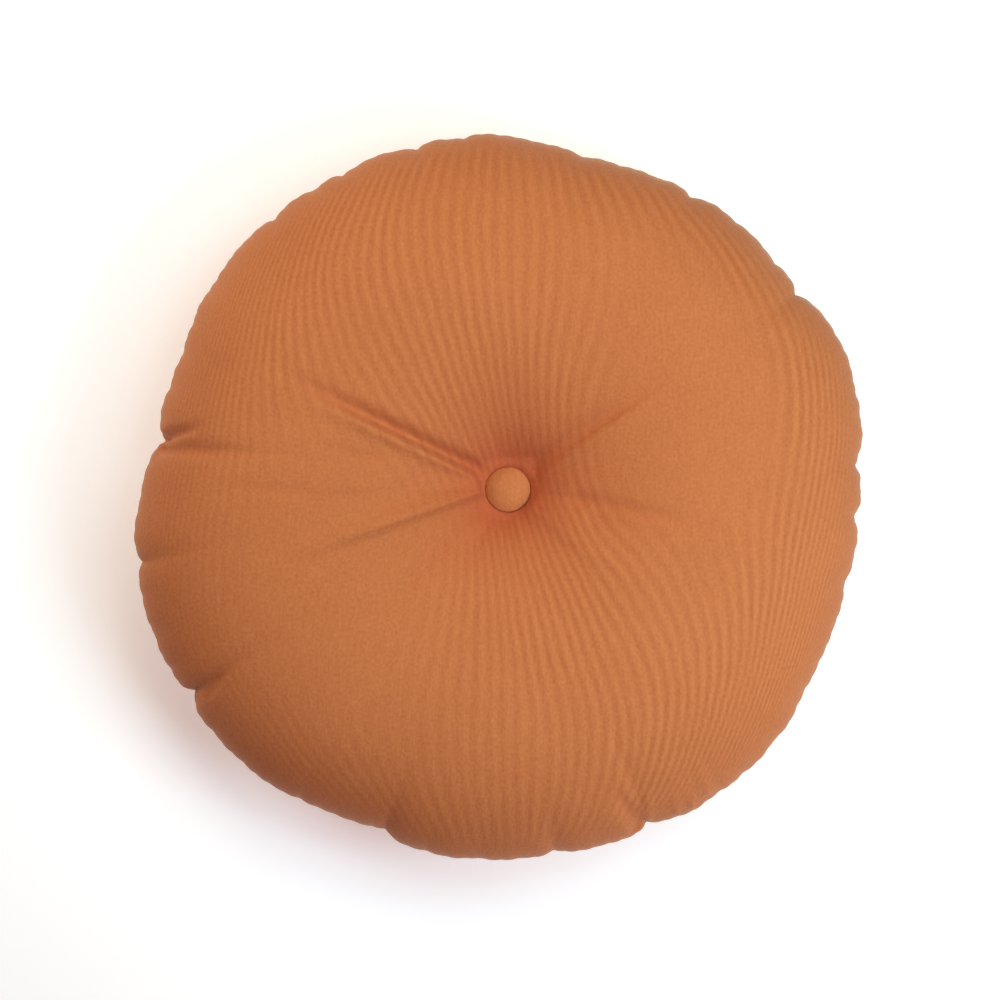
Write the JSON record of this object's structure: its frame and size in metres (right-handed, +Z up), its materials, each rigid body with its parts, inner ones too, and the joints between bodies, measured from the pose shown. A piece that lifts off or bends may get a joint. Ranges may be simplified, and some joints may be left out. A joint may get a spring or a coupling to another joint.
{
  "type": "round throw pillow",
  "caption": "Round knife-edge throw pillow, filled and crowned, drawn in by a covered button in the middle of each face, lying on its back.",
  "frame": {"origin": "on the surface that the pillow lies on, under the middle of its outline", "axes": "+Z up through the face, across the pillow's thickness; +Y towards the top of the face as pictured; +X to its right"},
  "size_m": [0.408, 0.4076, 0.1103],
  "materials": {
    "cover_cloth": "brushed plain-weave cotton in burnt orange with a soft sheen",
    "button_cloth": "the same cloth, stretched over a button mould"
  },
  "bodies": {
    "root": {"cushion": "cover_cloth", "button_front": "button_cloth", "button_back": "button_cloth"}
  },
  "joints": []
}
